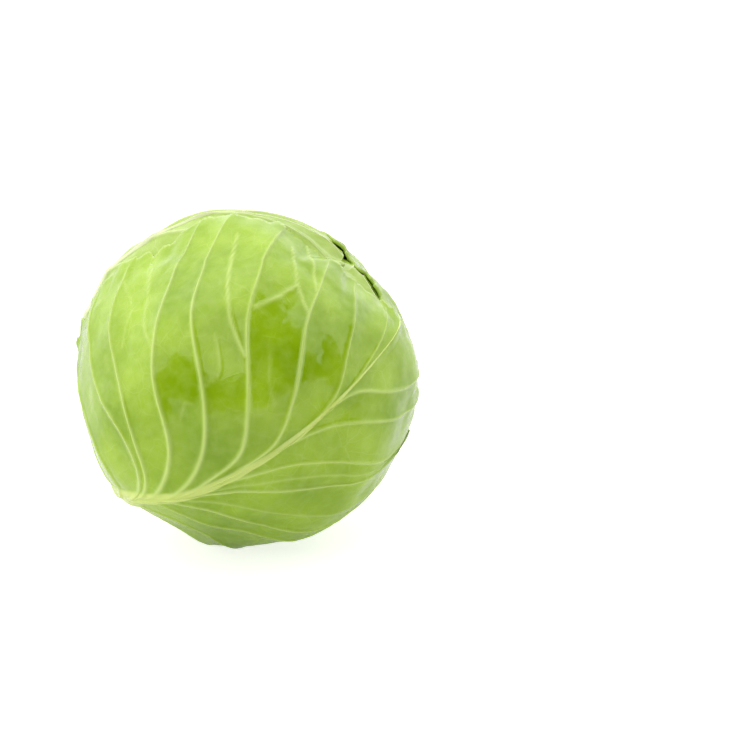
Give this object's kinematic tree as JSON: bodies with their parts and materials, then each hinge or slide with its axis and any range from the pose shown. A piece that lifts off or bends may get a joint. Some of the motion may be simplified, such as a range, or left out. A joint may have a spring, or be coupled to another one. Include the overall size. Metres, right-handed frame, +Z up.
{
  "type": "cabbage head",
  "caption": "Round white cabbage head lying on its side, with ribbed, overlapping waxy wrapper leaves round a dense inner head and a cut stem.",
  "frame": {"origin": "centre of the footprint box on the table, under the middle of the head", "axes": "+Z up; the head lies as in the picture, seen from -Y: its stem points to -X, down and slightly to +Y, its growing tip to +X, up and slightly to -Y"},
  "size_m": [0.2049, 0.2035, 0.194],
  "materials": {
    "wrapper_leaf": "waxy, softly glossy green leaf with paler ribs",
    "inner_leaf": "pale waxy inner leaf",
    "stem_flesh": "dull pale cut stalk"
  },
  "bodies": {
    "root": {"stem": "stem_flesh", "inner_head": "inner_leaf", "wrapper_leaf_1": "wrapper_leaf", "wrapper_leaf_2": "wrapper_leaf", "wrapper_leaf_3": "wrapper_leaf", "wrapper_leaf_4": "wrapper_leaf", "wrapper_leaf_5": "wrapper_leaf"}
  },
  "joints": []
}
